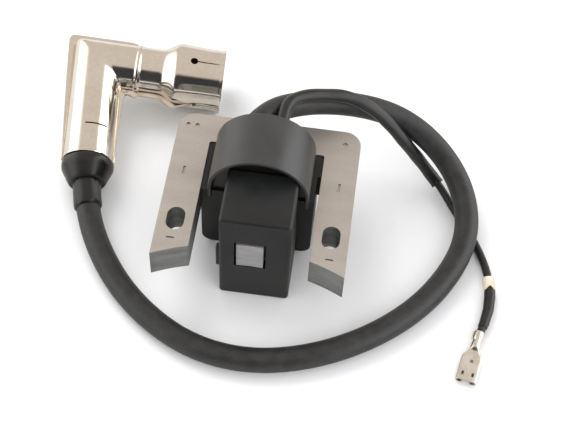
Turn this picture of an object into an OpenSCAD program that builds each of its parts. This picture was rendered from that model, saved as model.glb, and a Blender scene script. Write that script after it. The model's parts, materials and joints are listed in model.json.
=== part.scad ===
// Ignition coil for a small engine, with its plug lead, elbow plug cap and stop wire.
// The frame: Z = 0 is the surface it rests on, X = 0 is the core's plane of symmetry,
// Y = 0 is the middle of the core and -Y points to the flywheel.

/* [Core] */
// Width of the E-shaped stack of laminations
core_w = 64; // [64:0.1:65]
// Depth of the stack, from the leg tips to the back of the yoke
core_d = 60; // [60:0.1:60.2]
// Thickness of the stack
stack_h = 12; // [11.8:0.1:12]
// Height of the underside of the stack above the resting surface
core_z = 19; // [19:0.1:19.1]
// Width of each outer leg
leg_w = 12; // [11.5:0.1:12]
// Width of the centre leg
centre_leg_w = 9; // [8:0.1:9]
// Depth of the yoke
yoke_d = 11.5; // [11:0.1:11.5]
// Radius of the pole faces, which match the flywheel's rim and its air gap
pole_r = 72; // [70:1:80]
// Radius of the outer back corners
core_corner_r = 6; // [3:0.5:6]
// Width of the mounting slots
slot_w = 6; // [5:0.1:6]
// End-to-end length of the mounting slots
slot_l = 9; // [8:0.1:10]
// Distance between the two slots
slot_spacing = 52; // [51.5:0.1:52.5]

/* [Case] */
// Width of the front case
case_w = 24; // [24:0.1:24.2]
// Height of the front case
case_h = 43.5; // [43.2:0.1:43.5]
// Wall of the front case and the rear housing
case_wall = 1.5; // [1.2:0.1:1.5]
// Outer radius of the arched cover
arch_r = 17.1; // [17:0.1:17.3]
// Thickness of the arched cover
arch_wall = 1.3; // [1.2:0.1:1.3]

/* [Coil] */
// Radius of the primary bobbin's barrel
primary_r = 8.6; // [8.5:0.1:8.6]
// Radius of the secondary bobbin's ribs
rib_r = 14.5; // [14:0.1:14.5]
// Number of ribs on the secondary bobbin
rib_count = 5; // [4:1:6]

/* [Plug lead and stop wire] */
// Diameter of the plug lead
lead_d = 8.5; // [8:0.1:8.5]
// Diameter of the stop wire
wire_d = 2.8; // [2.4:0.1:2.8]
// Diameter of the sleeve over the first part of the stop wire
sleeve_d = 4.5; // [4:0.1:4.5]

/* [Plug cap] */
// Outer radius of the shield's tubes
tube_r = 8.9; // [8.8:0.1:8.9]
// Wall of the shield
shield_wall = 0.6; // [0.6:0.1:0.7]
// Outer radius of the widest part of the bell
bell_r = 12.1; // [12:0.1:12.2]
// Inner radius of the bell's mouth, which slides over the plug's hexagon
socket_r = 11; // [10.9:0.1:11]
// Length of the leg on the lead, from the elbow to its mouth
leg1_l = 41.3; // [41.1:0.1:41.5]
// Length of the leg on the plug, from the elbow to the bell's rim
leg2_l = 47.3; // [47:0.1:47.8]
// Angle between the two legs
elbow_angle = 86; // [85:1:87]

/* [Hidden] */
$fn = 64;
gap = 0.1;

core_top = core_z + stack_h;
leg_mid_z = core_z + stack_h / 2;
yoke_y = core_d / 2 - yoke_d;
slot_y = -15;
pole_centre_y = -94.5;
dimple_depth = 0.3;

case_x = 1.5;
case_front_y = -22.3;
case_back_y = -1.6;
case_corner_r = 1.2;

housing_lo = [-19.9, -1.5, 0];
housing_hi = [18.7, 18.2, 30.5];
housing_corner_r = 4;
arch_z = 35;
arch_front_y = -4.3;
arch_back_y = 16.8;

coil_front_y = 0.8;
coil_back_y = 16.4;
flange_t = 1.2;
coil_hole_r = 14.9;
rib_t = 0.8;
rib_pitch = (coil_back_y - coil_front_y - rib_t) / (rib_count - 1);
secondary_hub_r = 12;
coil_hole_front_y = 0.7;

board_z = 33.5;
board_t = 1;

// Route of the plug lead: out of the coil, over the yoke, round and into the plug cap
lead_route = [[-6.2, 10, 43.4], [-5.2, 16, 44.1], [-0.8, 25, 43.2], [7, 32.2, 39.8], [17, 39, 35],
    [30, 43.5, 30.5], [43.5, 45, 25.5], [56, 41.5, 19.5], [66.5, 33, 13.5], [72.5, 21.5, 9],
    [73.5, 7.5, 6], [68, -7, 4.25], [59, -21, 4.25], [46.5, -33, 4.25], [31.5, -42.5, 4.25],
    [15.5, -48.5, 4.25], [-0.5, -50.5, 4.25], [-16.5, -47.5, 4.25], [-30.5, -40, 4.25],
    [-43.5, -29, 4.25], [-53.5, -16, 5.5], [-60.5, -2.5, 7], [-64.1, 11.9, 8.9],
    [-65.7, 25.6, 11.1], [-67.3, 39.4, 13.2]];
// Route of the stop wire: out of the coil, over the lead, then under it and out to its terminal
wire_route = [[4.6, 13, 46.2], [4.8, 18, 46.4], [5, 23.5, 47], [6.5, 28.5, 46.5], [11, 32.5, 45],
    [17.5, 35.5, 43], [24.5, 38, 41], [31.5, 38.5, 37.5], [38.5, 38, 32], [44.5, 37, 25],
    [50, 36.5, 17.5], [54.5, 37, 10.5], [59, 35.5, 5], [63.5, 32, 2.4], [67.5, 25.5, 1.6],
    [71.5, 19.5, 1.4], [75.5, 13, 1.4], [79, 6, 1.6], [81.5, -1, 2.2], [83, -8, 2.2],
    [83.2, -15, 2.2], [82, -22, 2.2], [80.2, -27, 2.2], [79.2, -31, 2.2]];
lead_sides = 12;
wire_sides = 8;
seal_sides = 16;
sleeve_points = 13;
tie_at = 19;
lead_exit = [-4.75, 16, 43.8];
lead_exit_turn = -13;
lead_grommet_r = 4.8;

// The cap rests on its seal and its bell, with the elbow a little off the ground
elbow = [-69.5, 59, 16.3];
cap_lean = [8.5, 5.2, 3.2];
seam_gap = 0.04;
flange_reach = 11;
flange_mouth_reach = 9.2;
flange_mouth_s = leg1_l - 0.3;
flange_h = 0.7;
flange_start = -9.6;
bead_s = 14.6;
flange_end = bead_s + 0.9;
flare_s = 24.5;
bell_s = 30;
bell_end_s = 40.6;
relief_s = 36;
slit_s = 30;
inner_r = tube_r - shield_wall;
elbow_reach = 14.5;
fit = 0.05;
nozzle_end = 40.2;
seal_plug_s = leg1_l - 9.9;

spade_turn = -100.6;

function unit(v) = v / norm(v);

// A smooth curve near a list of points: a uniform cubic B-spline with its own end points
function on_curve(p, i, t) = (pow(1 - t, 3) * p[i - 1] + (3 * pow(t, 3) - 6 * t * t + 4) * p[i]
    + (-3 * pow(t, 3) + 3 * t * t + 3 * t + 1) * p[i + 1] + pow(t, 3) * p[i + 2]) / 6;
function smooth_route(p) = [for (i = [0:len(p) - 1])
    (i == 0 || i == len(p) - 1) ? p[i] : (p[i - 1] + 4 * p[i] + p[i + 1]) / 6];
function heading(p, i) = unit(p[min(i + 1, len(p) - 1)] - p[max(i - 1, 0)]);
function ring(c, t, r, n) = let (a = unit(cross([0, 0, 1], t)), b = cross(t, a))
    [for (k = [0:n - 1]) c + r * cos(360 * k / n) * a + r * sin(360 * k / n) * b];
function part_of(p, first, last) = [for (i = [first:last]) p[i]];

// A round tube along centres, one polyhedron; radii gives the radius at each centre
module swept(centres, radii, n) {
    m = len(centres);
    points = [for (i = [0:m - 1]) each ring(centres[i], heading(centres, i), radii[i], n)];
    walls = [for (i = [0:m - 2], k = [0:n - 1])
        let (a = i * n + k, b = (i + 1) * n + k, c = (i + 1) * n + (k + 1) % n, d = i * n + (k + 1) % n)
        each [[a, b, c], [a, c, d]]];
    start_cap = [for (k = [0:n - 1]) k];
    end_cap = [for (k = [n - 1:-1:0]) (m - 1) * n + k];
    polyhedron(points, concat(walls, [start_cap, end_cap]));
}

module cable(centres, d, n) {
    swept(centres, [for (c = centres) d / 2], n);
}

// A box from its lowest corner to its highest corner
module block(lo, hi) {
    translate(lo) cube(hi - lo);
}

// A cylinder along +Y at (x, z), from y0 to y1
module rod_y(x, z, r, y0, y1) {
    translate([x, y1, z]) rotate([90, 0, 0]) cylinder(r = r, h = y1 - y0);
}

// A ring along +Y about the centre leg
module ring_y(r_in, r_out, y0, y1) {
    difference() {
        rod_y(0, leg_mid_z, r_out, y0, y1);
        rod_y(0, leg_mid_z, r_in, y0 - 1, y1 + 1);
    }
}

// A bar along Y whose section is a rectangle with rounded corners
module rounded_bar(lo, hi, r) {
    block([lo[0] + r, lo[1], lo[2]], [hi[0] - r, hi[1], hi[2]]);
    block([lo[0], lo[1], lo[2] + r], [hi[0], hi[1], hi[2] - r]);
    for (x = [lo[0] + r, hi[0] - r], z = [lo[2] + r, hi[2] - r])
        rod_y(x, z, r, lo[1], hi[1]);
}

// The centre leg's passage through a wall, with a clearance all round
module leg_passage(clear, y0, y1) {
    block([-centre_leg_w / 2 - clear, y0, core_z - clear],
        [centre_leg_w / 2 + clear, y1, core_top + clear]);
}

// ---- Core ----

module mounting_slot(x) {
    run = (slot_l - slot_w) / 2;
    for (y = [slot_y - run, slot_y + run])
        translate([x, y, core_z - 1]) cylinder(d = slot_w, h = stack_h + 2);
    block([x - slot_w / 2, slot_y - run, core_z - 1], [x + slot_w / 2, slot_y + run, core_top + 1]);
}

module dimple(x, y, w, l) {
    block([x - w / 2, y - l / 2, core_top - dimple_depth], [x + w / 2, y + l / 2, core_top + 1]);
}

module round_dimple(x, y, r) {
    translate([x, y, core_top - dimple_depth]) cylinder(r = r, h = 1);
}

module core_laminations() {
    back = core_d / 2;
    side = core_w / 2;
    color([0.72, 0.68, 0.63]) difference() {
        union() {
            block([-side, -back, core_z], [side, back - core_corner_r, core_top]);
            block([-side + core_corner_r, yoke_y, core_z], [side - core_corner_r, back, core_top]);
            for (x = [-side + core_corner_r, side - core_corner_r])
                translate([x, back - core_corner_r, core_z]) cylinder(r = core_corner_r, h = stack_h);
        }
        for (s = [-1, 1])
            translate([s * (centre_leg_w / 2 + side - leg_w) / 2, (yoke_y - back - 1) / 2, leg_mid_z])
                cube([side - leg_w - centre_leg_w / 2, yoke_y + back + 1, stack_h + 2], center = true);
        translate([0, pole_centre_y, core_z - 1]) cylinder(r = pole_r, h = stack_h + 2, $fn = 256);
        for (s = [-1, 1]) mounting_slot(s * slot_spacing / 2);
        round_dimple(-28.6, 25, 0.7);
        round_dimple(-25.4, 25, 0.7);
        round_dimple(26.6, 24.3, 0.8);
        dimple(-26.7, 5.1, 0.8, 3.2);
        dimple(26.4, 5.6, 0.8, 3.2);
        dimple(-26.4, -22.8, 2.6, 0.6);
        dimple(26.3, -23.7, 2.6, 0.6);
    }
}

// ---- Case ----

module front_case() {
    left = case_x - case_w / 2;
    right = case_x + case_w / 2;
    color([0.2, 0.2, 0.21]) difference() {
        union() {
            rounded_bar([left, case_front_y, 0], [right, case_back_y, case_h], case_corner_r);
            block([left - 1.2, -21, 15], [left + 1, -18.5, 25]);
        }
        block([left + case_wall, case_front_y + case_wall, case_wall],
            [right - case_wall, case_back_y + 1, case_h - case_wall]);
        leg_passage(0.8, case_front_y - 1, case_front_y + case_wall + 1);
    }
}

module rear_housing() {
    r = housing_corner_r;
    lo = housing_lo;
    hi = housing_hi;
    color([0.12, 0.12, 0.13]) difference() {
        union() {
            block([lo[0], lo[1], r], hi);
            block([lo[0] + r, lo[1], 0], [hi[0] - r, hi[1], r + 1]);
            for (x = [lo[0] + r, hi[0] - r]) rod_y(x, r, r, lo[1], hi[1]);
            block([hi[0] - 1, 9.5, 20], [core_w / 2 - leg_w - gap, 17.8, hi[2]]);
        }
        block([lo[0] + case_wall, lo[1] + 1.3, case_wall],
            [hi[0] - case_wall, hi[1] - case_wall, hi[2] + 1]);
        leg_passage(gap, lo[1] - 1, hi[1] + 1);
    }
}

module arch_solid(r, y0, y1, z0) {
    intersection() {
        rod_y(0, arch_z, r, y0, y1);
        block([-r - 1, y0 - 1, arch_z], [r + 1, y1 + 1, arch_z + r + 1]);
    }
    block([-r, y0, z0], [r, y1, arch_z]);
}

module arch_cover() {
    color([0.27, 0.27, 0.28]) difference() {
        arch_solid(arch_r, arch_front_y, arch_back_y, housing_hi[2]);
        arch_solid(arch_r - arch_wall, arch_front_y - 1, arch_back_y + 1, housing_hi[2] - 1);
    }
}

module case_potting() {
    inner = case_w / 2 - case_wall - gap;
    color([0.1, 0.1, 0.1])
        block([case_x - inner, case_front_y + case_wall + gap, case_wall + gap],
            [case_x + inner, case_back_y - gap, 16.9]);
}

// The lead's first stretch and its grommet lie along this direction
module along_exit(s) {
    translate(lead_exit) rotate([0, 0, lead_exit_turn]) translate([0, s, 0]) rotate([-90, 0, 0])
        children();
}

module coil_potting() {
    inner_arch = arch_r - arch_wall - gap;
    lead = smooth_route(lead_route);
    wire = smooth_route(wire_route);
    color([0.07, 0.07, 0.075]) difference() {
        union() {
            block([housing_lo[0] + case_wall + gap, housing_lo[1] + 1.4, case_wall + gap],
                [housing_hi[0] - case_wall - gap, housing_hi[1] - case_wall - gap, housing_hi[2]]);
            arch_solid(inner_arch, -0.6, arch_back_y - gap, housing_hi[2]);
        }
        rod_y(0, leg_mid_z, coil_hole_r, coil_hole_front_y, arch_back_y + 1);
        leg_passage(0.2, -5, coil_hole_front_y + 1);
        along_exit(-2.6) cylinder(r = lead_grommet_r + gap, h = 6);
        along_exit(-14) cylinder(r = lead_d / 2 + 0.35, h = 14);
        rod_y(wire_route[0][0], wire_route[0][2], 3, 14.4, arch_back_y + 1);
        rod_y(wire_route[0][0], wire_route[0][2], sleeve_d / 2 + gap, 12.5, 15);
    }
}

// ---- Coil ----

module primary_bobbin() {
    color([0.16, 0.15, 0.14]) difference() {
        union() {
            rod_y(0, leg_mid_z, primary_r, coil_front_y, coil_back_y);
            rod_y(0, leg_mid_z, 10.7, coil_front_y, coil_front_y + flange_t);
            rod_y(0, leg_mid_z, 10.7, coil_back_y - flange_t, coil_back_y);
        }
        leg_passage(0.3, coil_front_y - 1, coil_back_y + 1);
    }
}

module primary_winding() {
    color([0.7, 0.36, 0.18])
        ring_y(primary_r + gap, 10.6, coil_front_y + flange_t + gap, coil_back_y - flange_t - gap);
}

module secondary_bobbin() {
    color([0.75, 0.72, 0.64]) difference() {
        union() {
            rod_y(0, leg_mid_z, secondary_hub_r, coil_front_y, coil_back_y);
            for (i = [0:rib_count - 1])
                rod_y(0, leg_mid_z, rib_r, coil_front_y + i * rib_pitch,
                    coil_front_y + i * rib_pitch + rib_t);
        }
        rod_y(0, leg_mid_z, 11, coil_front_y - 1, coil_back_y + 1);
    }
}

module secondary_winding() {
    color([0.62, 0.33, 0.16])
        for (i = [0:rib_count - 2])
            ring_y(secondary_hub_r + gap, rib_r - 0.5, coil_front_y + i * rib_pitch + rib_t + gap,
                coil_front_y + (i + 1) * rib_pitch - gap);
}

module trigger_bobbin() {
    color([0.16, 0.15, 0.14]) difference() {
        union() {
            block([-5.6, -18, core_z - 1.1], [5.6, -10, core_top + 1.1]);
            for (y = [-18, -10.8]) block([-8, y, core_z - 2], [8, y + 0.8, core_top + 2]);
        }
        leg_passage(0.3, -20, -8);
    }
}

module trigger_winding() {
    color([0.7, 0.36, 0.18]) difference() {
        block([-7.5, -17.1, core_z - 1.8], [7.5, -10.9, core_top + 1.8]);
        block([-5.7, -18, core_z - 1.2], [5.7, -10, core_top + 1.2]);
    }
}

// ---- Electronics ----

module circuit_board() {
    color([0.1, 0.35, 0.2]) difference() {
        block([-8.5, -20, board_z], [11.5, -2.6, board_z + board_t]);
        for (x = [-6.5, 9.5], y = [-18, -4.6])
            translate([x, y, board_z - 1]) cylinder(r = 0.6, h = 3);
    }
}

module power_transistor() {
    seat = board_z + board_t + gap;
    color([0.15, 0.15, 0.16]) {
        block([-7, -16, seat], [3, -7.5, seat + 4.2]);
        block([-7, -19.5, seat], [3, -16, seat + 1.2]);
    }
}

module board_components() {
    seat = board_z + board_t + gap;
    color([0.75, 0.62, 0.42]) {
        rod_y(6, seat + 1.3, 1.2, -18, -12);
        rod_y(9.6, seat + 1.3, 1.2, -18, -12);
        block([4.6, -10.4, seat], [10.6, -5.6, seat + 4.4]);
    }
}

module ground_strap() {
    inner = centre_leg_w / 2 + gap;
    color([0.8, 0.5, 0.3]) {
        block([inner, -8, 22], [inner + 0.5, -4, board_z - gap]);
        block([inner, -8, board_z - 0.6], [inner + 4, -4, board_z - gap]);
    }
}

module ht_terminal() {
    color([0.8, 0.65, 0.3]) {
        along_exit(-8.4) cylinder(r = 1.1, h = 2);
        along_exit(-9.4) cylinder(r = 3, h = 1);
    }
}

// ---- Lead and stop wire ----

module lead_bore() {
    cable(smooth_route(lead_route), lead_d + 2 * fit, lead_sides);
}

module wire_bore(extra) {
    cable(smooth_route(wire_route), wire_d + 2 * extra, wire_sides);
}

module lead_grommet() {
    color([0.13, 0.13, 0.14]) difference() {
        along_exit(-2.5) cylinder(r = lead_grommet_r, h = 4.2);
        along_exit(-4) cylinder(r = lead_d / 2 + 0.25, h = 12);
    }
}

module wire_grommet() {
    color([0.13, 0.13, 0.14]) difference() {
        rod_y(wire_route[0][0], wire_route[0][2], 2.9, 14.5, 18);
        rod_y(wire_route[0][0], wire_route[0][2], sleeve_d / 2 + 0.2, 14, 20);
    }
}

module ht_lead() {
    color([0.2, 0.2, 0.21]) cable(smooth_route(lead_route), lead_d, lead_sides);
}

module kill_wire() {
    color([0.13, 0.13, 0.15]) cable(smooth_route(wire_route), wire_d, wire_sides);
}

module wire_sleeve() {
    route = smooth_route(wire_route);
    color([0.1, 0.1, 0.11]) difference() {
        cable(part_of(route, 0, sleeve_points), sleeve_d, wire_sides);
        wire_bore(fit);
    }
}

// Places a piece along the stop wire at one of its route's points
module on_wire(i) {
    route = smooth_route(wire_route);
    way = heading(route, i);
    translate(route[i]) rotate([0, 0, atan2(way[1], way[0])]) rotate([0, 90, 0]) children();
}

module wire_tie() {
    color([0.85, 0.74, 0.6]) difference() {
        on_wire(tie_at) {
            translate([0, 0, -2]) cylinder(r1 = 2.2, r2 = 2.1, h = 4);
            translate([-1.9, -1, -1.6]) cube([0.6, 4, 2.6]);
        }
        on_wire(tie_at) translate([0, 0, -5]) cylinder(d = wire_d + 2 * gap, h = 10);
    }
}

module terminal_sleeve() {
    route = smooth_route(wire_route);
    centres = [(route[19] + route[20] * 2) / 3, route[20], (route[20] + route[21]) / 2, route[21],
        (route[21] + route[22]) / 2];
    color([0.1, 0.1, 0.11]) difference() {
        swept(centres, [1.95, 1.95, 1.9, 1.75, 1.7], wire_sides);
        wire_bore(fit);
    }
}

module at_spade() {
    translate([79.2, -31, 0]) rotate([0, 0, spade_turn]) children();
}

module spade_terminal() {
    color([0.8, 0.77, 0.7]) at_spade() difference() {
        union() {
            translate([-4.4, 0, 2.2]) rotate([0, 90, 0]) cylinder(r = 2.15, h = 6.4);
            block([1.6, -2, 2.2], [5, 2, 2.65]);
            block([3.6, -3.6, 2.2], [15, 3.6, 2.65]);
            for (s = [-1, 1]) {
                translate([9.3, s * 3.4, 1.4]) cube([11.4, 0.45, 2.5], center = true);
                translate([9.3, s * 2.5, 0.4]) cube([11.4, 2.2, 0.5], center = true);
            }
        }
        translate([-6, 0, 2.2]) rotate([0, 90, 0]) cylinder(r = wire_d / 2 + gap, h = 10);
        for (s = [-1, 1]) block([11.6, s * 1.6 - 0.35, 2], [13.4, s * 1.6 + 0.35, 3]);
    }
}

// ---- Plug cap ----

// The cap's pieces are drawn with the elbow at the origin and the plug's leg along +X
module at_elbow() {
    translate(elbow) rotate(cap_lean) children();
}

// +Z of the children runs along the leg on the lead, away from the elbow
module along_leg1(s) {
    rotate([0, 0, -elbow_angle]) translate([s, 0, 0]) rotate([0, 90, 0]) children();
}

// +Z of the children runs along the leg on the plug, away from the elbow
module along_leg2(s) {
    translate([s, 0, 0]) rotate([0, 90, 0]) children();
}

// One side of the mitre plane through the elbow: +1 holds the plug's leg
module mitre_side(side) {
    rotate([0, 0, -elbow_angle / 2]) translate([0, side * 100, 0])
        cube([200, 200, 200], center = true);
}

// Two round legs that meet in a mitre
module elbow_solid(r, l1, l2) {
    intersection() {
        along_leg1(-elbow_reach) cylinder(r = r, h = l1 + elbow_reach);
        mitre_side(-1);
    }
    intersection() {
        along_leg2(-elbow_reach) cylinder(r = r, h = l2 + elbow_reach);
        mitre_side(1);
    }
}

module shield_outside() {
    mouth_r = socket_r + shield_wall;
    lip_r = mouth_r + 0.3;
    bead_r = tube_r + 0.4;
    intersection() {
        along_leg1(-elbow_reach) cylinder(r = tube_r, h = leg1_l + elbow_reach);
        mitre_side(-1);
    }
    intersection() {
        along_leg2(0) rotate_extrude() polygon([[0, -elbow_reach], [tube_r, -elbow_reach],
            [tube_r, bead_s], [bead_r, bead_s + 0.4], [bead_r, bead_s + 1.4], [tube_r, bead_s + 1.8],
            [tube_r, flare_s], [bell_r, bell_s], [mouth_r, bell_end_s + 0.2],
            [mouth_r, leg2_l - 1.6], [lip_r, leg2_l - 1], [lip_r, leg2_l - 0.4],
            [mouth_r, leg2_l], [0, leg2_l]]);
        mitre_side(1);
    }
}

module shield_inside() {
    intersection() {
        along_leg1(-elbow_reach) cylinder(r = inner_r, h = leg1_l + elbow_reach + 1);
        mitre_side(-1);
    }
    intersection() {
        along_leg2(0) rotate_extrude() polygon([[0, -elbow_reach], [inner_r, -elbow_reach],
            [inner_r, flare_s + 0.3], [bell_r - shield_wall, bell_s + 0.2], [socket_r, bell_end_s],
            [socket_r, leg2_l + 1], [0, leg2_l + 1]]);
        mitre_side(1);
    }
}

// A point beside the lead's leg, seen along the cap's height; out is towards the plug
function beside_leg1(s, out) = [s * cos(elbow_angle) + out * sin(elbow_angle),
    -s * sin(elbow_angle) + out * cos(elbow_angle)];

// The crimped seam: it follows the flare on the inner side and ends at the bead on the outer side
module seam_flange() {
    translate([0, 0, -flange_h]) linear_extrude(2 * flange_h) polygon([
        [flange_end, flange_reach], [flange_start, flange_reach],
        beside_leg1(flange_start, -flange_reach), beside_leg1(flange_mouth_s, -flange_mouth_reach),
        beside_leg1(flange_mouth_s, flange_mouth_reach), [flange_reach, -flange_reach],
        [flare_s - 2, -flange_reach], [bell_s - 1.5, -bell_r - 1.2], [bell_s + 2.5, -bell_r - 1.2],
        [bell_s + 3.5, -bell_r + 1], [bell_s + 3.5, 0], [flange_end, 0]]);
}

module shield_shape() {
    difference() {
        union() {
            shield_outside();
            seam_flange();
        }
        shield_inside();
        // relief hole with a slit to the rim, and the slit across the lead's leg
        translate([relief_s, 0, 0]) cylinder(r = 1.4, h = 20);
        block([relief_s, -0.3, 0], [leg2_l + 1, 0.3, 20]);
        rotate([0, 0, -elbow_angle]) block([slit_s - 0.4, -5, 5], [slit_s + 0.4, 5, 12]);
    }
}

// One side of the seam: +1 holds the upper half of the shield
module seam_side(side) {
    translate([0, 0, side * (seam_gap / 2 + 20)]) cube([200, 200, 40], center = true);
}

module shield_upper() {
    color([0.82, 0.78, 0.73]) at_elbow() intersection() {
        shield_shape();
        seam_side(1);
    }
}

module shield_lower() {
    color([0.78, 0.74, 0.69]) at_elbow() intersection() {
        shield_shape();
        seam_side(-1);
    }
}

module boot_insulator() {
    color([0.25, 0.13, 0.08]) at_elbow() difference() {
        union() {
            elbow_solid(inner_r - fit, seal_plug_s - 0.6, flare_s);
            along_leg2(20) cylinder(r = 7.6, h = nozzle_end - 20);
        }
        along_leg2(26.4) cylinder(r = 5.6, h = 20);
        along_leg2(15.4) cylinder(r = 4.3, h = 12);
        along_leg2(0) cylinder(r = 1.4, h = 16);
        along_leg1(0) cylinder(r = 1.4, h = 8);
        along_leg1(6.9) cylinder(r = lead_d / 2 + 0.45, h = 30);
        sphere(r = 1.4);
    }
}

module plug_terminal_clip() {
    color([0.83, 0.69, 0.35]) at_elbow() along_leg2(17) difference() {
        cylinder(r = 4.2, h = 9);
        translate([0, 0, -1]) cylinder(r = 3.2, h = 11);
    }
}

module contact_rod() {
    color([0.83, 0.69, 0.35]) at_elbow() {
        along_leg2(0) cylinder(r = 1.25, h = 15.6);
        along_leg2(15.5) cylinder(r = 4.2, h = 1.4);
        along_leg1(0) cylinder(r = 1.25, h = 7.1);
        along_leg1(7) cylinder(r = 3.6, h = 1);
        sphere(r = 1.25);
    }
}

module contact_spring() {
    color([0.75, 0.75, 0.74]) at_elbow() along_leg1(8.1) difference() {
        cylinder(r = 3.2, h = 9);
        translate([0, 0, -1]) cylinder(r = 2.3, h = 11);
    }
}

module lead_end_cap() {
    color([0.83, 0.69, 0.35]) at_elbow() along_leg1(17.4) cylinder(r = 3.8, h = 2.4);
}

module boot_seal() {
    centres = [for (t = [0.98, 0.8, 0.65, 0.5, 0.35, 0.2]) on_curve(lead_route, 21, t)];
    color([0.12, 0.12, 0.13]) difference() {
        union() {
            at_elbow() along_leg1(0) rotate_extrude() polygon([[0, seal_plug_s],
                [inner_r - fit, seal_plug_s], [inner_r - fit, leg1_l + 0.3], [8.8, leg1_l + 0.3],
                [9.35, leg1_l + 1.2], [9.35, leg1_l + 4], [6.3, leg1_l + 10], [0, leg1_l + 10]]);
            swept(centres, [5.1, 5.1, 5.1, 5.1, 5.1, 4.7], seal_sides);
        }
        lead_bore();
    }
}

core_laminations();
front_case();
rear_housing();
arch_cover();
case_potting();
coil_potting();
primary_bobbin();
primary_winding();
secondary_bobbin();
secondary_winding();
trigger_bobbin();
trigger_winding();
circuit_board();
power_transistor();
board_components();
ground_strap();
ht_terminal();
lead_grommet();
wire_grommet();
ht_lead();
lead_end_cap();
boot_seal();
shield_upper();
shield_lower();
boot_insulator();
plug_terminal_clip();
contact_rod();
contact_spring();
kill_wire();
wire_sleeve();
wire_tie();
terminal_sleeve();
spade_terminal();
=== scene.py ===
import json
import math

import bmesh
import bpy
from mathutils import Matrix, Vector


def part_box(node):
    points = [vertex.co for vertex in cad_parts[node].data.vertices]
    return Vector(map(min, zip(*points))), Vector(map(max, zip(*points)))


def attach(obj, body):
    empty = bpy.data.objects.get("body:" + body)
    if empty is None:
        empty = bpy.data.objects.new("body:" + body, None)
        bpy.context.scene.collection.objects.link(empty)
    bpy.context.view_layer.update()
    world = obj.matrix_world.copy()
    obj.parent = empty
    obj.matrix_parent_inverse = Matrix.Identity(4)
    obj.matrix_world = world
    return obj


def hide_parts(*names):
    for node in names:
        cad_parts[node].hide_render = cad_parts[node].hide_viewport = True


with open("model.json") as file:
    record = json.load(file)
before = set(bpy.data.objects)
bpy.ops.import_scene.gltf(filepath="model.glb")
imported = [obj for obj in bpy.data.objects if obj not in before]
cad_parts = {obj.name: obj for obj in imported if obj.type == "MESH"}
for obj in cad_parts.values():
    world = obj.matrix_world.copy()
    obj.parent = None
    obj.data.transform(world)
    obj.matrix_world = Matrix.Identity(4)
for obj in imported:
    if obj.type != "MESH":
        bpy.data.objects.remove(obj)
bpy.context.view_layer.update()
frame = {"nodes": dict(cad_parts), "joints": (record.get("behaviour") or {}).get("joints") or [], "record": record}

# Ignition coil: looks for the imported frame. Lengths in this file are in millimetres,
# and MM turns them into the frame's metres. Edges over SHARP degrees are shaded sharp.

MM = 0.001
UP = Vector((0, 0, 1))
COIL = "coil"
CAP = "plug_cap"
mounts = {m["name"]: m for m in frame["record"]["mounts"]}
cap_joint = frame["joints"][0]

LEAD_D = 8.5
WIRE_D = 2.8
SLEEVE_D = 4.5
SLEEVE_END_X = 62.0
WIRE_TAIL_X = 60.0
ROUTE_POINTS = 400
SHARP = 35

# Routes of the plug lead and the stop wire, as in the part's source
LEAD_ROUTE = [(-6.2, 10, 43.4), (-5.2, 16, 44.1), (-0.8, 25, 43.2), (7, 32.2, 39.8), (17, 39, 35),
    (30, 43.5, 30.5), (43.5, 45, 25.5), (56, 41.5, 19.5), (66.5, 33, 13.5), (72.5, 21.5, 9),
    (73.5, 7.5, 6), (68, -7, 4.25), (59, -21, 4.25), (46.5, -33, 4.25), (31.5, -42.5, 4.25),
    (15.5, -48.5, 4.25), (-0.5, -50.5, 4.25), (-16.5, -47.5, 4.25), (-30.5, -40, 4.25),
    (-43.5, -29, 4.25), (-53.5, -16, 5.5), (-60.5, -2.5, 7), (-64.1, 11.9, 8.9),
    (-65.7, 25.6, 11.1), (-67.3, 39.4, 13.2)]
WIRE_ROUTE = [(4.6, 13, 46.2), (4.8, 18, 46.4), (5, 23.5, 47), (6.5, 28.5, 46.5), (11, 32.5, 45),
    (17.5, 35.5, 43), (24.5, 38, 41), (31.5, 38.5, 37.5), (38.5, 38, 32), (44.5, 37, 25),
    (50, 36.5, 17.5), (54.5, 37, 10.5), (59, 35.5, 5), (63.5, 32, 2.4), (67.5, 25.5, 1.6),
    (71.5, 19.5, 1.4), (75.5, 13, 1.4), (79, 6, 1.6), (81.5, -1, 2.2), (83, -8, 2.2),
    (83.2, -15, 2.2), (82, -22, 2.2), (80.2, -27, 2.2), (79.2, -31, 2.2)]


# ---- Camera ----

def make_camera():
    azimuth, elevation, roll = (math.radians(a) for a in (4.0, 55.5, -4.0))
    distance = 434.5
    target = Vector((13, -10, 31))
    back = Vector((math.sin(azimuth) * math.cos(elevation),
        -math.cos(azimuth) * math.cos(elevation), math.sin(elevation)))
    right = Vector((math.cos(azimuth), math.sin(azimuth), 0))
    up = back.cross(right)
    cam_right = right * math.cos(roll) - up * math.sin(roll)
    cam_up = right * math.sin(roll) + up * math.cos(roll)
    data = bpy.data.cameras.new("camera")
    data.lens = 80
    data.sensor_width = 36
    data.clip_start = 0.01
    cam = bpy.data.objects.new("camera", data)
    bpy.context.scene.collection.objects.link(cam)
    turn = Matrix((cam_right, cam_up, back)).transposed().to_4x4()
    cam.matrix_world = Matrix.Translation((target + back * distance) * MM) @ turn
    bpy.context.scene.camera = cam


make_camera()


# ---- Curves and meshes ----

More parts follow.
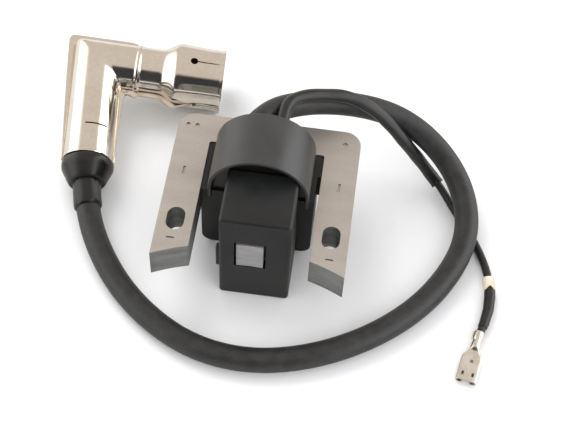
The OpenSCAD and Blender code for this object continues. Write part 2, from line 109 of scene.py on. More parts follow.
def on_route(route):
    """Points, evenly spread in the parameter, of the clamped cubic B-spline of a route"""
    degree = 3
    last = len(route) - degree
    knots = [0] * degree + list(range(last + 1)) + [last] * degree
    points = []
    for n in range(ROUTE_POINTS):
        t = min(last * n / (ROUTE_POINTS - 1), last - 1e-9)
        span = degree + int(t)
        d = [Vector(route[span - degree + j]) for j in range(degree + 1)]
        for r in range(1, degree + 1):
            for j in range(degree, r - 1, -1):
                low = knots[span - degree + j]
                high = knots[span + 1 + j - r]
                share = (t - low) / (high - low)
                d[j] = d[j - 1].lerp(d[j], share)
        points.append(d[degree])
    return points


def route_curve(name, route, diameter):
    data = bpy.data.curves.new(name, "CURVE")
    data.dimensions = "3D"
    spline = data.splines.new("NURBS")
    spline.points.add(len(route) - 1)
    for point, place in zip(spline.points, route):
        point.co = (*(Vector(place) * MM), 1)
    spline.order_u = 4
    spline.use_endpoint_u = True
    spline.resolution_u = 8
    data.bevel_depth = diameter / 2 * MM
    data.bevel_resolution = 7
    data.use_fill_caps = True
    obj = bpy.data.objects.new(name, data)
    bpy.context.scene.collection.objects.link(obj)
    return obj


def add_object(name, mesh):
    obj = bpy.data.objects.new(name, mesh)
    bpy.context.scene.collection.objects.link(obj)
    return obj


def from_bmesh(name, bm, sharp=SHARP):
    """An object from a bmesh in millimetres, shaded smooth but for edges over sharp degrees"""
    bmesh.ops.recalc_face_normals(bm, faces=bm.faces)
    bmesh.ops.scale(bm, vec=(MM, MM, MM), verts=bm.verts)
    mesh = bpy.data.meshes.new(name)
    bm.to_mesh(mesh)
    bm.free()
    smooth(mesh, sharp)
    return add_object(name, mesh)


def smooth(mesh, sharp):
    for face in mesh.polygons:
        face.use_smooth = True
    mesh.set_sharp_from_angle(angle=math.radians(sharp))


def apply_modifiers(obj, sharp=SHARP):
    graph = bpy.context.evaluated_depsgraph_get()
    mesh = bpy.data.meshes.new_from_object(obj.evaluated_get(graph))
    obj.modifiers.clear()
    obj.data = mesh
    smooth(mesh, sharp)


def bevel(obj, width, segments, angle=40):
    mod = obj.modifiers.new("bevel", "BEVEL")
    mod.width = width * MM
    mod.segments = segments
    mod.limit_method = "ANGLE"
    mod.angle_limit = math.radians(angle)
    mod.use_clamp_overlap = True


def boolean(obj, cutter, operation="DIFFERENCE"):
    mod = obj.modifiers.new("cut", "BOOLEAN")
    mod.object = cutter
    mod.operation = operation
    mod.solver = "EXACT"
    apply_modifiers(obj)
    bpy.data.objects.remove(cutter)


def subdivide(obj, levels):
    mod = obj.modifiers.new("subdivide", "SUBSURF")
    mod.levels = levels
    mod.render_levels = levels


def solidify(obj, wall):
    """Gives an open sheet its wall, on the side that its normals point away from"""
    mod = obj.modifiers.new("wall", "SOLIDIFY")
    mod.thickness = wall * MM
    mod.offset = -1


def even_normals(obj):
    """Keeps large flat faces flat where they meet narrow rounded edges"""
    mod = obj.modifiers.new("normals", "WEIGHTED_NORMAL")
    mod.weight = 100
    mod.keep_sharp = True


def grid_bmesh(rows, closed=True, caps=False):
    """Faces between rows of points; closed joins each row's last point to its first"""
    bm = bmesh.new()
    made = [[bm.verts.new(p) for p in row] for row in rows]
    count = len(rows[0])
    for a, b in zip(made, made[1:]):
        for k in range(count if closed else count - 1):
            n = (k + 1) % count
            bm.faces.new((a[k], a[n], b[n], b[k]))
    if caps:
        bm.faces.new(made[0])
        bm.faces.new(made[-1])
    return bm


def box_bmesh(lo, hi):
    bm = bmesh.new()
    bmesh.ops.create_cube(bm, size=1)
    lo, hi = Vector(lo), Vector(hi)
    bmesh.ops.scale(bm, vec=hi - lo, verts=bm.verts)
    bmesh.ops.translate(bm, vec=(lo + hi) / 2, verts=bm.verts)
    return bm


def place_bmesh(bm, axes, origin):
    """Turns a bmesh so that its X, Y and Z lie along axes, then moves it to origin"""
    bmesh.ops.rotate(bm, cent=(0, 0, 0), matrix=Matrix(axes).transposed(), verts=bm.verts)
    bmesh.ops.translate(bm, vec=origin, verts=bm.verts)


def box_object(name, lo, hi, round_by=0, segments=2):
    bm = box_bmesh(lo, hi)
    if round_by:
        bmesh.ops.bevel(bm, geom=bm.edges[:], offset=round_by, segments=segments,
            profile=0.5, affect="EDGES")
    return from_bmesh(name, bm)


def side_of(direction):
    """A level vector square to direction, and the vector square to both"""
    across = UP.cross(direction).normalized()
    return across, direction.cross(across)


def swept_rows(stations, sides):
    """Rings about stations of (centre, direction, radius)"""
    rows = []
    for centre, direction, radius in stations:
        across, over = side_of(direction)
        angles = [math.tau * k / sides for k in range(sides)]
        rows.append([centre + across * (radius * math.cos(a)) + over * (radius * math.sin(a))
            for a in angles])
    return rows


def stations_along(points, profile):
    """Stations at distances along points: profile is a list of (distance, radius)"""
    reached = [0]
    for a, b in zip(points, points[1:]):
        reached.append(reached[-1] + (b - a).length)
    stations = []
    for distance, radius in profile:
        i = max(0, min(len(points) - 2, sum(1 for r in reached if r <= distance) - 1))
        step = points[i + 1] - points[i]
        centre = points[i] + step * ((distance - reached[i]) / step.length)
        before = points[max(0, i - 1)]
        after = points[min(len(points) - 1, i + 2)]
        stations.append((centre, (after - before).normalized(), radius))
    return stations


# ---- Materials ----

def make_material(name, dark, light, roughness, metallic=0.0, patch=60.0, grain=1500.0,
        bump=0.02, spread=0.06, stretch=(1, 1, 1), specular=0.5):
    """A surface whose colour runs from dark to light in soft patches with a fine grain"""
    grain_share = 0.4
    colour_range = (0.36, 0.64)
    gloss_range = (0.3, 0.7)
    mat = bpy.data.materials.new(name)
    mat.use_nodes = True
    nodes, links = mat.node_tree.nodes, mat.node_tree.links
    shader = nodes["Principled BSDF"]
    shader.inputs["Metallic"].default_value = metallic
    shader.inputs["Specular IOR Level"].default_value = specular
    place = nodes.new("ShaderNodeTexCoord")
    mapping = nodes.new("ShaderNodeMapping")
    mapping.inputs["Scale"].default_value = stretch
    links.new(place.outputs["Object"], mapping.inputs["Vector"])

    def noise(scale, detail):
        node = nodes.new("ShaderNodeTexNoise")
        node.inputs["Scale"].default_value = scale
        node.inputs["Detail"].default_value = detail
        links.new(mapping.outputs["Vector"], node.inputs["Vector"])
        return node.outputs["Fac"]

    patches = noise(patch, 4)
    grains = noise(grain, 3)
    blend = nodes.new("ShaderNodeMix")
    blend.inputs["Factor"].default_value = grain_share
    links.new(patches, blend.inputs["A"])
    links.new(grains, blend.inputs["B"])
    ramp = nodes.new("ShaderNodeValToRGB")
    for stop, position, colour in zip(ramp.color_ramp.elements, colour_range, (dark, light)):
        stop.position = position
        stop.color = (*colour, 1)
    links.new(blend.outputs["Result"], ramp.inputs["Fac"])
    links.new(ramp.outputs["Color"], shader.inputs["Base Color"])
    gloss = nodes.new("ShaderNodeMapRange")
    gloss.inputs["From Min"].default_value = gloss_range[0]
    gloss.inputs["From Max"].default_value = gloss_range[1]
    gloss.inputs["To Min"].default_value = max(0.02, roughness - spread)
    gloss.inputs["To Max"].default_value = roughness + spread
    links.new(patches, gloss.inputs["Value"])
    links.new(gloss.outputs["Result"], shader.inputs["Roughness"])
    relief = nodes.new("ShaderNodeBump")
    relief.inputs["Strength"].default_value = 1.0
    relief.inputs["Distance"].default_value = bump * MM
    links.new(grains, relief.inputs["Height"])
    links.new(relief.outputs["Normal"], shader.inputs["Normal"])
    return mat


def grey(level, warm=0.0):
    """A grey that leans to red by the share warm, or to blue where warm is below zero"""
    return (level * (1 + warm), level, level * (1 - warm))


MATERIALS = {
    "laminations": make_material("lamination_face", (0.42, 0.38, 0.34), (0.51, 0.465, 0.42), 0.42,
        metallic=0.55, patch=35, grain=900, bump=0.004, stretch=(1, 4, 1)),
    "cut_edge": make_material("lamination_edge", (0.16, 0.165, 0.16), (0.30, 0.305, 0.295), 0.45,
        metallic=0.6, patch=80, grain=1500, bump=0.006, stretch=(1, 1, 6)),
    "ground_edge": make_material("ground_edge", (0.33, 0.33, 0.335), (0.46, 0.46, 0.465), 0.5,
        metallic=0.5, patch=120, grain=1200, bump=0.006, stretch=(1, 1, 6)),
    "case_plastic": make_material("case_plastic", grey(0.010, -0.06), grey(0.017, -0.06), 0.42,
        patch=120, grain=2600, bump=0.006, specular=0.4),
    "cover_plastic": make_material("cover_plastic", grey(0.026), grey(0.040), 0.40, patch=90,
        grain=2200, bump=0.006, spread=0.08, specular=0.62),
    "potting": make_material("potting", grey(0.006), grey(0.012), 0.3, patch=120, grain=400,
        bump=0.05),
    "bobbin_plastic": make_material("bobbin_plastic", grey(0.09), grey(0.12), 0.45),
    "bobbin_cream": make_material("bobbin_cream", (0.6, 0.56, 0.46), (0.7, 0.66, 0.55), 0.45),
    "copper_wire": make_material("copper_wire", (0.5, 0.2, 0.08), (0.72, 0.34, 0.15), 0.3,
        metallic=0.9, grain=3500, bump=0.05, stretch=(0.2, 4, 0.2)),
    "board": make_material("board", (0.02, 0.13, 0.06), (0.03, 0.2, 0.09), 0.35),
    "component_body": make_material("component_body", grey(0.03), grey(0.05), 0.4),
    "component_tan": make_material("component_tan", (0.5, 0.36, 0.2), (0.6, 0.46, 0.28), 0.35),
    "brass_contact": make_material("brass_contact", (0.7, 0.5, 0.2), (0.85, 0.66, 0.32), 0.22,
        metallic=1.0, bump=0.01),
    "lead_jacket": make_material("lead_jacket", grey(0.013), grey(0.030), 0.45, patch=220,
        grain=1300, bump=0.03, spread=0.07),
    "seal_rubber": make_material("seal_rubber", grey(0.005), grey(0.009), 0.3, patch=150,
        grain=1500, bump=0.012),
    "nickel_plate": make_material("nickel_plate", (0.80, 0.74, 0.66), (0.88, 0.83, 0.76), 0.13,
        metallic=1.0, patch=70, grain=700, bump=0.004, spread=0.05),
    "insulator_resin": make_material("insulator_resin", (0.05, 0.018, 0.01),
        (0.09, 0.035, 0.02), 0.3),
    "spring_steel": make_material("spring_steel", grey(0.45), grey(0.6), 0.25, metallic=1.0),
    "wire_jacket": make_material("wire_jacket", grey(0.008), grey(0.018), 0.36, patch=200,
        grain=1500, bump=0.012),
    "tie_tan": make_material("tie_tan", (0.68, 0.55, 0.41), (0.9, 0.80, 0.67), 0.5, patch=300,
        grain=1500, bump=0.05),
    "tinned_brass": make_material("tinned_brass", (0.78, 0.74, 0.65), (0.92, 0.89, 0.82), 0.3,
        metallic=1.0, patch=250, grain=1200, bump=0.03, spread=0.1),
}


def dress(obj, slot, body, *replaced, extra=()):
    """Gives a piece its materials, its body and the CAD nodes that it stands for"""
    obj.data.materials.clear()
    for name in (slot, *extra):
        obj.data.materials.append(MATERIALS[name])
    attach(obj, body)
    if replaced:
        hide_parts(*replaced)
    return obj


def dress_cad_nodes():
    slots = {s["node"]: s["material_slot"] for s in frame["record"]["subparts"]}
    for name, obj in frame["nodes"].items():
        obj.data.materials.clear()
        obj.data.materials.append(MATERIALS[slots[name]])


dress_cad_nodes()


# ---- Cords ----

lead = dress(route_curve("plug_lead", LEAD_ROUTE, LEAD_D), "lead_jacket", COIL, "ht_lead")
wire = dress(route_curve("stop_wire", WIRE_ROUTE, WIRE_D), "wire_jacket", COIL, "kill_wire")
lead_line = on_route(LEAD_ROUTE)
wire_line = on_route(WIRE_ROUTE)


def cord_length(points):
    return sum((b - a).length for a, b in zip(points, points[1:]))


# ---- Coil and case ----

def node_box(name):
    """The two corners of a CAD node's box"""
    lo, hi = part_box(name)
    return lo / MM, hi / MM


def arc_points(centre, radius, start, end, count):
    """The points of an arc of count steps, from start to end in degrees"""
    angles = [math.radians(start + (end - start) * i / count) for i in range(count + 1)]
    return [(centre[0] + radius * math.cos(a), centre[1] + radius * math.sin(a)) for a in angles]


SHEETS = 24
POLE_R = 72
POLE_CENTRE_Y = -94.5
LEG_W = 12
CENTRE_LEG_W = 9
YOKE_D = 11.5
CORNER_R = 6
FILLET_R = 0.8
SLOT_X = 26
SLOT_Y = -15
SLOT_W = 6
SLOT_RUN = 3
CASE_W = 24
CASE_ROUND = 1.3
CASE_WALL = 1.5
COVER_WALL = 1.3
COVER_ROUND = 0.35


def pole_arc(x_from, x_to, count):
    """Points on the circle of the pole faces, which the flywheel runs past"""
    xs = [x_from + (x_to - x_from) * i / count for i in range(count + 1)]
    return [(x, POLE_CENTRE_Y + math.sqrt(POLE_R ** 2 - x * x)) for x in xs]


def core_outline(lo, hi):
    half = CENTRE_LEG_W / 2
    inner = hi.x - LEG_W
    yoke = hi.y - YOKE_D
    points = arc_points((hi.x - CORNER_R, hi.y - CORNER_R), CORNER_R, 0, 90, 10)
    points += arc_points((lo.x + CORNER_R, hi.y - CORNER_R), CORNER_R, 90, 180, 10)
    points += pole_arc(lo.x, -inner, 6)
    points += arc_points((-inner + FILLET_R, yoke - FILLET_R), FILLET_R, 180, 90, 4)
    points += arc_points((-half - FILLET_R, yoke - FILLET_R), FILLET_R, 90, 0, 4)
    points += pole_arc(-half, half, 4)
    points += arc_points((half + FILLET_R, yoke - FILLET_R), FILLET_R, 180, 90, 4)
    points += arc_points((inner - FILLET_R, yoke - FILLET_R), FILLET_R, 90, 0, 4)
    points += pole_arc(inner, hi.x, 6)
    return points


def slot_outline(x):
    r = SLOT_W / 2
    run = SLOT_RUN / 2
    return (arc_points((x, SLOT_Y + run), r, 0, 180, 14)
        + arc_points((x, SLOT_Y - run), r, 180, 360, 14))


def mark_outline(x, y, width, length):
    left, right = x - width / 2, x + width / 2
    front, back = y - length / 2, y + length / 2
    return [(left, front), (right, front), (right, back), (left, back)]


def interlock_marks():
    """Outlines of the round marks, (x, y, radius), and of the long ones, (x, y, width, length)"""
    dots = [(-28.6, 25, 0.7), (-25.4, 25, 0.7), (26.6, 24.3, 0.8)]
    bars = [(-26.7, 5.1, 0.8, 3.2), (26.4, 5.6, 0.8, 3.2), (-26.4, -22.8, 2.6, 0.6),
        (26.3, -23.7, 2.6, 0.6)]
    return ([arc_points((x, y), r, 0, 330, 11) for x, y, r in dots]
        + [mark_outline(*bar) for bar in bars])


def plate(outlines, thickness):
    """A flat plate with holes, with its middle on z = 0 and a fine chamfer on its edges"""
    edge = 0.04
    data = bpy.data.curves.new("plate", "CURVE")
    data.dimensions = "2D"
    data.fill_mode = "BOTH"
    for outline in outlines:
        spline = data.splines.new("POLY")
        spline.points.add(len(outline) - 1)
        for point, (x, y) in zip(spline.points, outline):
            point.co = (x * MM, y * MM, 0, 1)
        spline.use_cyclic_u = True
    data.extrude = (thickness / 2 - edge) * MM
    data.bevel_depth = edge * MM
    data.offset = -edge * MM
    data.bevel_resolution = 0
    obj = bpy.data.objects.new("plate", data)
    bpy.context.scene.collection.objects.link(obj)
    graph = bpy.context.evaluated_depsgraph_get()
    mesh = bpy.data.meshes.new_from_object(obj.evaluated_get(graph))
    bpy.data.objects.remove(obj)
    return mesh


def build_laminations():
    lo, hi = node_box("core_laminations")
    pitch = (hi.z - lo.z) / SHEETS
    holes = [slot_outline(-SLOT_X), slot_outline(SLOT_X)]
    plain = plate([core_outline(lo, hi), *holes], pitch)
    marked = plate([core_outline(lo, hi), *holes, *interlock_marks()], pitch)
    bm = bmesh.new()
    for i in range(SHEETS):
        before = len(bm.verts)
        bm.from_mesh(marked if i == SHEETS - 1 else plain)
        bm.verts.ensure_lookup_table()
        bmesh.ops.translate(bm, vec=(0, 0, (lo.z + pitch * (i + 0.5)) * MM),
            verts=bm.verts[before:])
    bmesh.ops.remove_doubles(bm, verts=bm.verts, dist=1e-7)
    mesh = bpy.data.meshes.new("lamination_stack")
    bm.to_mesh(mesh)
    bm.free()
    obj = add_object("lamination_stack", mesh)
    dress(obj, "laminations", COIL, "core_laminations", extra=("cut_edge", "ground_edge"))
    for face in mesh.polygons:
        level = abs(face.normal.z) > 0.9
        centre_leg_end = face.normal.y < -0.7 and abs(face.center.x) < CENTRE_LEG_W / 2 * MM
        face.material_index = 0 if level else 2 if centre_leg_end else 1


def build_front_case():
    """A box open at its back, with a window for the centre leg and a lug on its left side"""
    lo, hi = node_box("front_case")
    left = hi.x - CASE_W
    past = 2
    case = box_object("front_shell", (left, lo.y, lo.z), (hi.x, hi.y + CASE_ROUND, hi.z),
        CASE_ROUND, segments=6)
    boolean(case, box_object("cut", (left - past, hi.y, lo.z - past),
        (hi.x + past, hi.y + CASE_ROUND + past, hi.z + past)))
    boolean(case, box_object("cut", (left + CASE_WALL, lo.y + CASE_WALL, lo.z + CASE_WALL),
        (hi.x - CASE_WALL, hi.y + past, hi.z - CASE_WALL)))
    leg_lo, leg_hi = node_box("core_laminations")
    gap = 0.8
    half = CENTRE_LEG_W / 2 + gap
    boolean(case, box_object("cut", (-half, lo.y - past, leg_lo.z - gap),
        (half, lo.y + CASE_WALL + past, leg_hi.z + gap)))
    lug_y, lug_z, lug_sunk = (-21, -18.5), (15, 25), 0.8
    lug = box_object("lug", (lo.x, lug_y[0], lug_z[0]), (left + lug_sunk, lug_y[1], lug_z[1]), 0.3)
    boolean(case, lug, "UNION")
    bevel(case, 0.25, segments=3, angle=60)
    apply_modifiers(case)
    even_normals(case)
    dress(case, "case_plastic", COIL, "front_case")


def cover_section(y0, y1):
    """The cover's section: (y, depth below the outer surface), with rounded corners"""
    r = COVER_ROUND
    inner = COVER_WALL - r
    corners = [(y1 - r, inner, 0), (y0 + r, inner, 90), (y0 + r, r, 180), (y1 - r, r, 270)]
    return [point for y, depth, turn in corners
        for point in arc_points((y, depth), r, turn, turn + 90, 4)]


def build_arch_cover():
    """A band over the coil: upright sides and a half circle on top, as wide as its CAD node"""
    lo, hi = node_box("arch_cover")
    outer = hi.x
    centre_z = hi.z - outer
    side_shares = (0, 0.02, 0.5, 1)
    steps = 64
    path = [((1, 0), (outer, lo.z + (centre_z - lo.z) * t)) for t in side_shares]
    for i in range(1, steps):
        nx, nz = math.cos(math.pi * i / steps), math.sin(math.pi * i / steps)
        path.append(((nx, nz), (outer * nx, centre_z + outer * nz)))
    path += [((-1, 0), (-outer, lo.z + (centre_z - lo.z) * t)) for t in reversed(side_shares)]
    section = cover_section(lo.y, hi.y)
    rows = [[Vector((x - nx * depth, y, z - nz * depth)) for y, depth in section]
        for (nx, nz), (x, z) in path]
    cover = from_bmesh("cover_band", grid_bmesh(rows, caps=True), sharp=50)
    dress(cover, "cover_plastic", COIL, "arch_cover")


build_laminations()
build_front_case()
build_arch_cover()
bevel(frame["nodes"]["rear_housing"], 0.4, segments=3)


# ---- Plug cap ----

# OUT1 and OUT2 are square to the legs and point to the outer side of the bend
ELBOW = Vector(cap_joint["pos_m"]) / MM
LEG1 = Vector(cap_joint["axis"]).normalized()
LEG2 = Vector(mounts["plug_socket"]["axis"]).normalized()
CAP_UP = LEG1.cross(LEG2).normalized()
OUT2 = CAP_UP.cross(LEG2)
OUT1 = LEG1.cross(CAP_UP)
HALF_ANGLE = LEG1.angle(LEG2) / 2
TUBE_R = 8.9
BELL_R = 12.1
SOCKET_R = 11.0
SHIELD_WALL = 0.6
MOUTH_R = SOCKET_R + SHIELD_WALL
FLANGE_REACH = 11.3
SEAM_LIFT = 0.62
SHIELD_STEPS = 20

# Distances from the elbow along a leg: leg 1 holds the lead, and leg 2 ends in the bell
LEG1_L = 41.3
LEG2_L = 47.3
LEAD_END_S = 20
SLIT_S = 30.0
BEAD_S = 14.6
FLARE_S = 24.5
BELL_S = 30.0
FLANGE_END_S = 33.5
RELIEF_S = 36.0

# The shield's outer wall: (distance, radius, share of the mitre's slant)
LEG1_STATIONS = [(LEG1_L, TUBE_R, 0), (LEG1_L - 0.4, TUBE_R + 0.12, 0), (LEG1_L - 1.2, TUBE_R, 0),
    (34, TUBE_R, 0), (26, TUBE_R, 0.05), (18, TUBE_R, 0.15), (12, TUBE_R, 0.3),
    (6, TUBE_R, 0.65), (2, TUBE_R, 0.9), (0.9, TUBE_R, 0.97)]
LEG2_STATIONS = [(0.9, TUBE_R, 0.97), (2, TUBE_R, 0.9), (6, TUBE_R, 0.6), (10, TUBE_R, 0.2),
    (BEAD_S - 1.2, TUBE_R, 0), (BEAD_S, TUBE_R, 0), (BEAD_S + 0.5, TUBE_R + 0.55, 0),
    (BEAD_S + 1.4, TUBE_R + 0.55, 0), (BEAD_S + 2, TUBE_R, 0), (BEAD_S + 3.2, TUBE_R, 0),
    (20, TUBE_R, 0), (FLARE_S - 1, TUBE_R, 0), (FLARE_S + 0.3, TUBE_R + 0.15, 0),
    (FLARE_S + 2.8, (TUBE_R + BELL_R) / 2, 0), (BELL_S - 0.6, BELL_R - 0.2, 0),
    (BELL_S + 0.5, BELL_R, 0), (BELL_S + 1.8, BELL_R - 0.03, 0), (35, BELL_R - 0.2, 0),
    (40.6, MOUTH_R, 0), (41.8, MOUTH_R, 0), (LEG2_L - 2.2, MOUTH_R, 0),
    (LEG2_L - 1.2, MOUTH_R + 0.05, 0), (LEG2_L - 0.7, MOUTH_R + 0.3, 0),
    (LEG2_L, MOUTH_R + 0.28, 0)]


def shell_point(leg, outward, station, angle, sign):
    """The point of a half shell at a station, at an angle round the leg"""
    distance, radius, bend = station
    cos, sin = math.cos(angle), math.sin(angle)
    s = distance - bend * TUBE_R * cos / math.tan(HALF_ANGLE)
    return ELBOW + leg * s + outward * (radius * cos) + CAP_UP * (sign * radius * sin)


def seam_wave(s):
    """The uneven wave of the crimped seam, at a distance along leg 2"""
    return math.sin(math.tau * s / 6.5) + 0.4 * math.sin(math.tau * s / 2.9)


def flange_width(s, leg, outer):
    """How far the crimped seam stands out of the tube"""
    width = FLANGE_REACH - TUBE_R
    if leg == 1:
        return width * (1 - 0.85 * max(0, s) / LEG1_L)
    if outer:
        return width * max(0.02, min(1, BEAD_S + 0.5 - s))
    width += 0.22 * seam_wave(s) * min(1, max(0, s - 8) / 3)
    return width * max(0.02, min(1, (FLANGE_END_S - s) / 3))


def seam_flange(edge, stations, turned, sign):
    """The root and the rim of the seam along an edge, outside (turned 1) or inside (-1) the bend"""
    corner = (OUT1 + OUT2).normalized() / math.cos(math.pi / 2 - HALF_ANGLE)
    lift = CAP_UP * (sign * SEAM_LIFT)
    root, rim = [], []
    for point, (_, outward, leg, (distance, _, bend)) in zip(edge, stations):
        width = flange_width(distance, leg, turned > 0)
        out = outward.lerp(corner, bend ** 2) * turned
        droop = 0.3 * seam_wave(distance) if leg == 2 and turned < 0 else 0
        root.append(point + out * 0.1 + lift)
        rim.append(point + out * width + lift - CAP_UP * droop * min(1, width))
    return root, rim


def build_shield(name, node, sign):
    """One half of the shield: the upper with sign 1, the lower with sign -1"""
    stations = ([(LEG1, OUT1, 1, station) for station in LEG1_STATIONS]
        + [(LEG2, OUT2, 2, station) for station in LEG2_STATIONS])
    columns = [[shell_point(leg, outward, station, math.pi * k / SHIELD_STEPS, sign)
        for leg, outward, _, station in stations] for k in range(SHIELD_STEPS + 1)]
    outer_root, outer_rim = seam_flange(columns[0], stations, 1, sign)
    inner_root, inner_rim = seam_flange(columns[-1], stations, -1, sign)
    columns = [outer_rim, outer_root, *columns, inner_root, inner_rim]
    obj = from_bmesh(name, grid_bmesh(columns, closed=False), sharp=60)
    face_along(obj, CAP_UP * sign)
    subdivide(obj, 2)
    solidify(obj, SHIELD_WALL)
    apply_modifiers(obj, sharp=50)
    if sign > 0:
        cut_slits(obj)
    dress(obj, "nickel_plate", CAP, node)


def face_along(obj, way):
    """Turns an open shell's normals to the side that way points to"""
    if sum(face.normal.dot(way) * face.area for face in obj.data.polygons) < 0:
        obj.data.flip_normals()


def cap_cutter(bm, leg, distance):
    """A cutter drawn with X along a leg and Z to CAP_UP, placed at a distance from the elbow"""
    place_bmesh(bm, (leg, CAP_UP.cross(leg), CAP_UP), ELBOW + leg * distance)
    return from_bmesh("cutter", bm)


def cut_slits(obj):
    """The relief hole and the slit that runs from it to the bell's rim, and the slit in leg 1"""
    bm = bmesh.new()
    bmesh.ops.create_cone(bm, cap_ends=True, segments=32, radius1=1.35, radius2=1.35, depth=12)
    bmesh.ops.translate(bm, vec=(0, 0, 12), verts=bm.verts)
    boolean(obj, cap_cutter(bm, LEG2, RELIEF_S))
    boolean(obj, cap_cutter(box_bmesh((0, -0.22, 3), (14, 0.22, 20)), LEG2, RELIEF_S))
    boolean(obj, cap_cutter(box_bmesh((-0.3, -1.6, 3), (0.3, 6, 20)), LEG1, SLIT_S))


build_shield("shield_top", "shield_upper", 1)
build_shield("shield_bottom", "shield_lower", -1)


def build_seal():
    """The rubber seal: its profile starts at the cap's mouth and runs back along the lead"""
    line = lead_line[-(ROUTE_POINTS // 4):]
    line.reverse()
    start = LEG1_L - LEAD_END_S
    profile = [(-9, 4.4), (-9, 7.9), (0.2, 7.9), (0.3, 8.4), (0.7, 9.1), (1.4, 9.35), (2.6, 9.35),
        (3.6, 9.2), (4.4, 8.8), (6.5, 7.8), (8.4, 6.9), (9.0, 6.5), (9.15, 6.1), (8.9, 5.6),
        (9.0, 5.2), (10, 5.05), (12, 5.0), (14, 5.0), (16, 5.0), (17.4, 5.05), (18.2, 4.95),
        (18.7, 4.7), (18.9, 4.4), (18.7, 4.3)]
    rows = swept_rows(stations_along(line, [(start + d, r) for d, r in profile]), sides=48)
    rubber = from_bmesh("lead_seal", grid_bmesh(rows), sharp=60)
    return dress(rubber, "seal_rubber", COIL, "boot_seal")


seal = build_seal()


# ---- Pieces on the stop wire ----

def wire_between(first_y, last_y):
    """The stop wire's points on its last stretch, from one Y down to another"""
    return [p for p in wire_line if p.x > WIRE_TAIL_X and last_y <= p.y <= first_y]


def wire_tube(name, line, profile, sides, node):
    rows = swept_rows(stations_along(line, profile), sides)
    piece = from_bmesh(name, grid_bmesh(rows), sharp=50)
    return dress(piece, "wire_jacket", COIL, node)


def build_wire_sleeve():
    end = next(i for i, p in enumerate(wire_line) if p.x > SLEEVE_END_X)
    line = wire_line[:end]
    length = cord_length(line)
    r = SLEEVE_D / 2
    steps = 60
    ripple = 0.06
    outside = [(length * i / steps, r + ripple * math.sin(i * 0.9)) for i in range(steps)]
    outside += [(length - 0.6, r + 0.12), (length - 0.1, r + 0.18), (length, r)]
    inside = [(length - 0.3, 1.75), (length - 4, 1.6), (length - 6, 1.45)]
    return wire_tube("sleeve_tube", line, outside + inside, 20, "wire_sleeve")


def build_terminal_sleeve():
    line = wire_between(-9, -24.5)
    length = cord_length(line)
    profile = [(0, 1.5), (0, 1.8), (0.4, 1.98), (3, 2.0), (8, 1.92), (length - 2, 1.75),
        (length - 0.3, 1.7), (length, 1.6), (length, 1.45)]
    return wire_tube("terminal_tube", line, profile, 24, "terminal_sleeve")


def build_tie():
    """A short ring round the wire, longer at its sides than on top"""
    line = wire_between(-3.5, -12)
    way = (line[-1] - line[0]).normalized()
    sides = 32
    profile = [(0.8, 1.5), (0.6, 2.0), (1.2, 2.18), (2.6, 2.16), (4.0, 2.14), (5.2, 2.1), (5.3, 1.7)]
    rows = swept_rows(stations_along(line, profile), sides)
    for i, row in enumerate(rows):
        share = i / (len(rows) - 1)
        for k, point in enumerate(row):
            a = math.tau * k / sides
            top = max(0, math.sin(a))
            row[k] = point + way * ((share - 0.3) * (1.8 * abs(math.cos(a)) - 1.1 * top))
    ring = from_bmesh("tie_ring", grid_bmesh(rows), sharp=50)
    subdivide(ring, 1)
    apply_modifiers(ring)
    return dress(ring, "tie_tan", COIL, "wire_tie")


# The spade's sections are half outlines in its own frame: X along it, Y across and Z up
SPADE_L = 15
SPADE_WALL = 0.38
SPADE_BASE_Z = 2.62
BARREL_Z = 2.2
ROLLED_SIDE = [(0.38, 2.1), (0.62, 2.3), (0.86, 2.25), (0.99, 1.8), (1, 1.1), (0.98, 0.5),
    (0.9, 0.12), (0.5, 0), (0, 0)]
SPADE_OPENINGS = [(12.4, 1.7, 1.5, 0.8), (12.4, -1.7, 1.5, 0.8), (7.4, 0.2, 1.1, 1.1)]


def barrel(x, r, gape=0.15):
    """Half of a crimped barrel of radius r, whose edge stops gape radians short of its bottom"""
    steps = 8
    angles = [-math.pi / 2 + gape + (math.pi - gape) * i / steps for i in range(steps)]
    sides = [(x, r * math.cos(a), BARREL_Z + r * math.sin(a)) for a in angles]
    return [*sides, (x, 0, BARREL_Z + r)]


def rolled(x, half_width, roll=1.0):
    """Half of the flat box with its side rolled in; roll scales how deep the roll hangs"""
    return [(x, half_width * share, SPADE_BASE_Z - drop * roll) for share, drop in ROLLED_SIDE]


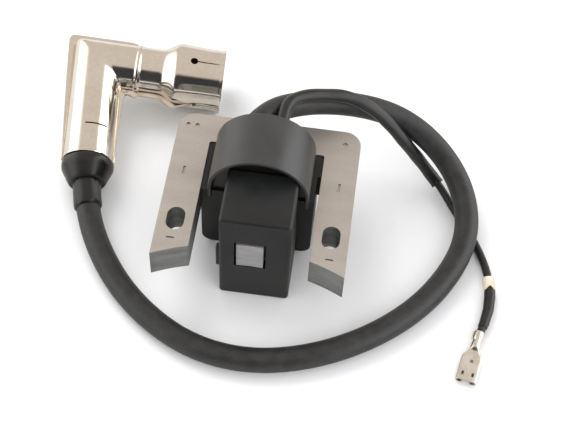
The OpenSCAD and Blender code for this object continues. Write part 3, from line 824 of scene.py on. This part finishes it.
def build_spade():
    """The receptacle and its crimps, lofted from an open barrel to a flat box with rolled sides"""
    mouth = Vector(mounts["spade_socket"]["pos_m"]) / MM
    along = Vector(mounts["spade_socket"]["axis"]).normalized()
    origin = Vector((mouth.x, mouth.y, 0)) - along * SPADE_L
    across = UP.cross(along)
    halves = [barrel(-4.4, 2.05), barrel(-3.0, 2.1), barrel(-1.6, 2.05), barrel(-1.2, 1.75, 0.9),
        barrel(-0.7, 1.6, 0.9), barrel(-0.2, 1.75), barrel(1.2, 1.8), barrel(2.2, 1.75),
        rolled(3.2, 1.9, 0.45), rolled(4.2, 2.4, 0.35), rolled(5.0, 3.3, 0.75), rolled(5.6, 3.6),
        rolled(8, 3.62), rolled(11, 3.62), rolled(14, 3.62), rolled(SPADE_L - 0.3, 3.6),
        rolled(SPADE_L, 3.5)]
    rows = []
    for half in halves:
        mirrored = [(x, -y, z) for x, y, z in reversed(half[:-1])]
        rows.append([origin + along * x + across * y + UP * z for x, y, z in half + mirrored])
    obj = from_bmesh("spade", grid_bmesh(rows, closed=False), sharp=60)
    solidify(obj, SPADE_WALL)
    subdivide(obj, 2)
    apply_modifiers(obj, sharp=50)
    for x, y, length, width in SPADE_OPENINGS:
        bm = box_bmesh((x - length / 2, y - width / 2, 2), (x + length / 2, y + width / 2, 4))
        place_bmesh(bm, (along, across, UP), origin)
        boolean(obj, from_bmesh("slot", bm))
    return dress(obj, "tinned_brass", COIL, "spade_terminal")


sleeve = build_wire_sleeve()
terminal_sleeve = build_terminal_sleeve()
tie = build_tie()
spade = build_spade()


# ---- Floor and light ----

# The floor as the pieces reflect it: a painted shade, a darker floor colour that reflections see in place of the
# shade near the object
SHADED_FLOOR_REFLECTION = (0.68, 0.66, 0.63)
FLOOR_SIZE = 2500
FLOOR_GAP = 0.05


def build_floor():
    bm = bmesh.new()
    bmesh.ops.create_grid(bm, x_segments=8, y_segments=8, size=FLOOR_SIZE)
    bmesh.ops.translate(bm, vec=(0, 0, -FLOOR_GAP), verts=bm.verts)
    floor = from_bmesh("floor", bm)
    paper = make_material("floor_paper_painted_reflection_shade", grey(0.93), grey(0.95), 0.7, patch=3, grain=200,
        bump=0.002)
    floor.data.materials.append(paper)
    nodes, links = paper.node_tree.nodes, paper.node_tree.links
    base = nodes["Principled BSDF"].inputs["Base Color"]
    # Glossy rays see the floor darker than the paper: a painted shade in the floor's reflections
    rays = nodes.new("ShaderNodeLightPath")
    painted_shade = nodes.new("ShaderNodeMix")
    painted_shade.data_type = "RGBA"
    painted_shade.inputs["B"].default_value = (*SHADED_FLOOR_REFLECTION, 1)
    links.new(rays.outputs["Is Glossy Ray"], painted_shade.inputs["Factor"])
    links.new(base.links[0].from_socket, painted_shade.inputs["A"])
    links.new(painted_shade.outputs["Result"], base)


def area_light(name, place, size, power, colour=(1, 1, 1)):
    """A soft light in metres that faces the origin and isn't seen in reflections"""
    data = bpy.data.lights.new(name, "AREA")
    data.shape = "RECTANGLE"
    data.size, data.size_y = size
    data.energy = power
    data.color = colour
    obj = bpy.data.objects.new(name, data)
    bpy.context.scene.collection.objects.link(obj)
    obj.location = place
    obj.rotation_mode = "QUATERNION"
    obj.rotation_quaternion = (-Vector(place)).to_track_quat("-Z", "Y")
    obj.visible_glossy = False


def build_world():
    """A studio seen in reflections: white at both sides, warm grey behind, dark in front"""
    warm_grey, dark = (0.70, 0.635, 0.565), (0.05, 0.05, 0.055)
    left_white, right_white = (1.7, 1.7, 1.66), (2.4, 2.4, 2.4)
    soft_white, paper_white = (0.95, 0.95, 0.97), (1.0, 1.0, 1.0)
    world = bpy.data.worlds.new("studio")
    bpy.context.scene.world = world
    world.use_nodes = True
    nodes, links = world.node_tree.nodes, world.node_tree.links
    background = nodes["Background"]
    place = nodes.new("ShaderNodeTexCoord")
    parts = nodes.new("ShaderNodeSeparateXYZ")
    links.new(place.outputs["Generated"], parts.inputs["Vector"])

    def ramp_of(output, low, high, invert=False):
        node = nodes.new("ShaderNodeMapRange")
        node.interpolation_type = "SMOOTHSTEP"
        node.inputs["From Min"].default_value = low
        node.inputs["From Max"].default_value = high
        if invert:
            node.inputs["To Min"].default_value = 1
            node.inputs["To Max"].default_value = 0
        links.new(parts.outputs[output], node.inputs["Value"])
        return node.outputs["Result"]

    def mixed(factor, a, b):
        node = nodes.new("ShaderNodeMix")
        node.data_type = "RGBA"
        links.new(factor, node.inputs["Factor"])
        for socket, value in (("A", a), ("B", b)):
            if isinstance(value, tuple):
                node.inputs[socket].default_value = (*value, 1)
            else:
                links.new(value, node.inputs[socket])
        return node.outputs["Result"]

    front = ramp_of("Y", -0.66, -0.5, invert=True)
    room = mixed(front, warm_grey, dark)
    left = ramp_of("X", -0.74, -0.52, invert=True)
    room = mixed(left, room, left_white)
    right = ramp_of("X", 0.52, 0.66)
    room = mixed(right, room, right_white)
    rays = nodes.new("ShaderNodeLightPath")
    ambient = mixed(rays.outputs["Is Diffuse Ray"], room, soft_white)
    seen = mixed(rays.outputs["Is Camera Ray"], ambient, paper_white)
    links.new(seen, background.inputs["Color"])
    background.inputs["Strength"].default_value = 1.0


build_floor()
build_world()
area_light("key", (-0.55, 0.55, 0.95), size=(0.7, 0.7), power=6, colour=(1, 0.99, 0.97))
area_light("fill", (0.5, -0.6, 0.9), size=(0.6, 0.6), power=2)
bpy.context.scene.view_settings.view_transform = "Standard"
